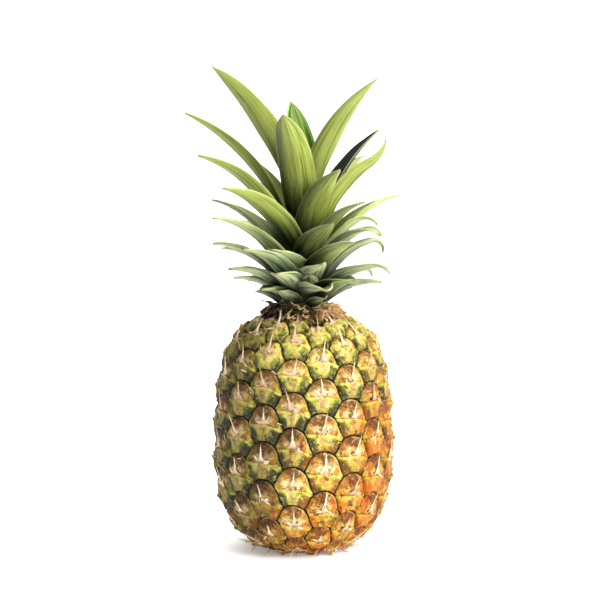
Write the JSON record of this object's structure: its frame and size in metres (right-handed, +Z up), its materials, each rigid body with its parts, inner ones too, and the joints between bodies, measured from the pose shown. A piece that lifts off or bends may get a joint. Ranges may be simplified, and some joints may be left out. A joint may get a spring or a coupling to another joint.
{
  "type": "pineapple",
  "caption": "Whole ripe pineapple standing upright on its cut base, with a skin of raised six-sided eyes, a dry bract collar and a green leafy crown.",
  "frame": {"origin": "centre of the cut stalk's flat underside, on the surface the pineapple stands on", "axes": "+Z up along the fruit, -Y towards the viewer of the picture, +X to that viewer's right"},
  "size_m": [0.1451, 0.1306, 0.3024],
  "materials": {
    "fruit_skin": "satin, waxy",
    "crown_leaf": "satin with a pale bloom",
    "dry_bract": "matte, papery",
    "cut_stalk": "matte, fibrous"
  },
  "bodies": {
    "root": {"fruit": "fruit_skin", "crown": "crown_leaf", "neck_bracts": "dry_bract", "cut_stalk": "cut_stalk"}
  },
  "joints": []
}
